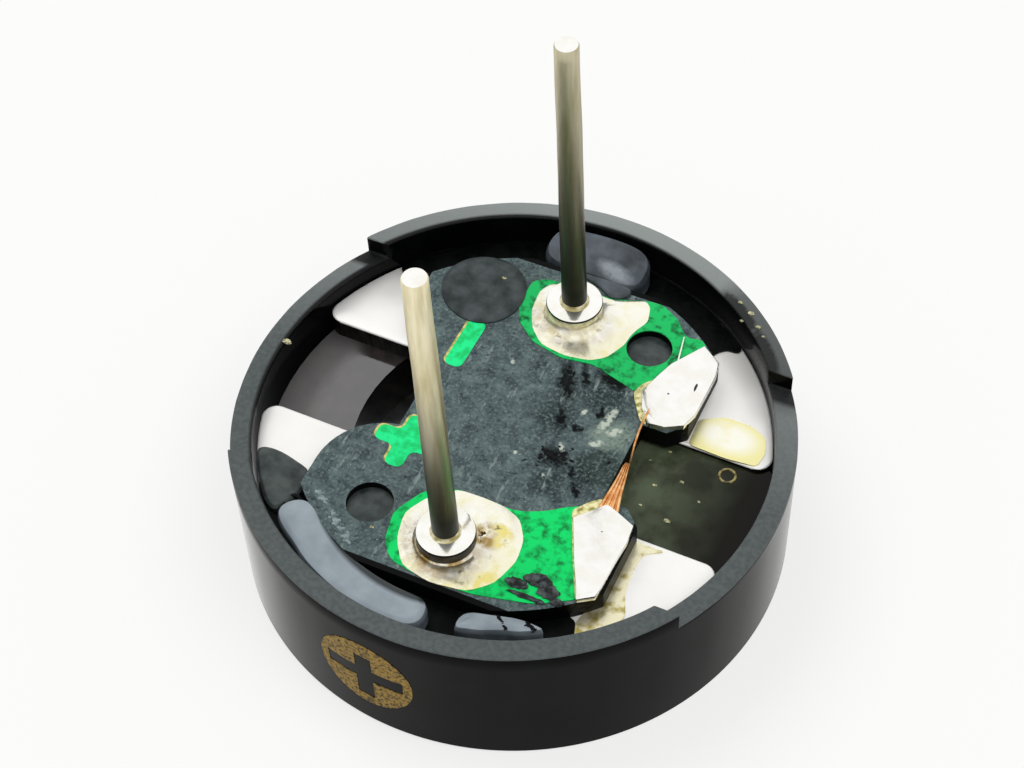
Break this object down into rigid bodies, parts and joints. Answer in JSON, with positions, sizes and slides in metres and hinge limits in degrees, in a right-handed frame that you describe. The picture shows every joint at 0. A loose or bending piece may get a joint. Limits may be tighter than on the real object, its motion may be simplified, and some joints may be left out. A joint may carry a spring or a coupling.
{
  "type": "audio transducer",
  "caption": "Round electromagnetic audio transducer with a moulded case, an open back that shows its yoke plate and circuit board, and straight flanged pins.",
  "frame": {"origin": "centre of the sound face, in the plane that the part lies on with its pins up", "axes": "+Z from the sound face out along the pins, Y along the pin line from the plus pin to the minus pin, +X towards the notch that the coil's leads come through"},
  "size_m": [0.012, 0.012, 0.0114],
  "materials": {
    "case_plastic": "fine moulded grain",
    "spring_steel": "rolled",
    "soft_steel": "satin",
    "ferrite": "sintered, matt",
    "copper_wire": "enamelled",
    "plated_steel": "bright plating",
    "board_ink": "printed ink, semi-gloss",
    "solder_mask": "solder mask, gloss",
    "tinned_pin": "drawn and tinned",
    "solder": "reflowed, bright",
    "grey_adhesive": "cured, glossy",
    "dark_adhesive": "cured, satin",
    "brown_resin": "cured, glossy",
    "amber_adhesive": "cured, glossy"
  },
  "bodies": {
    "root": {"case": "case_plastic", "diaphragm": "spring_steel", "armature_disc": "soft_steel", "ring_magnet": "ferrite", "core_post": "soft_steel", "coil_winding": "copper_wire", "yoke_plate": "plated_steel", "circuit_board": "board_ink", "plus_land": "solder_mask", "minus_land": "solder_mask", "plus_pin": "tinned_pin", "minus_pin": "tinned_pin", "plus_pin_solder": "solder", "minus_pin_solder": "solder", "plus_lead_solder": "solder", "minus_lead_solder": "solder", "front_bead_long": "grey_adhesive", "front_bead_short": "grey_adhesive", "back_bead": "grey_adhesive", "board_dab": "dark_adhesive", "plate_patch": "dark_adhesive", "notch_resin": "brown_resin", "amber_film": "amber_adhesive"}
  },
  "joints": []
}
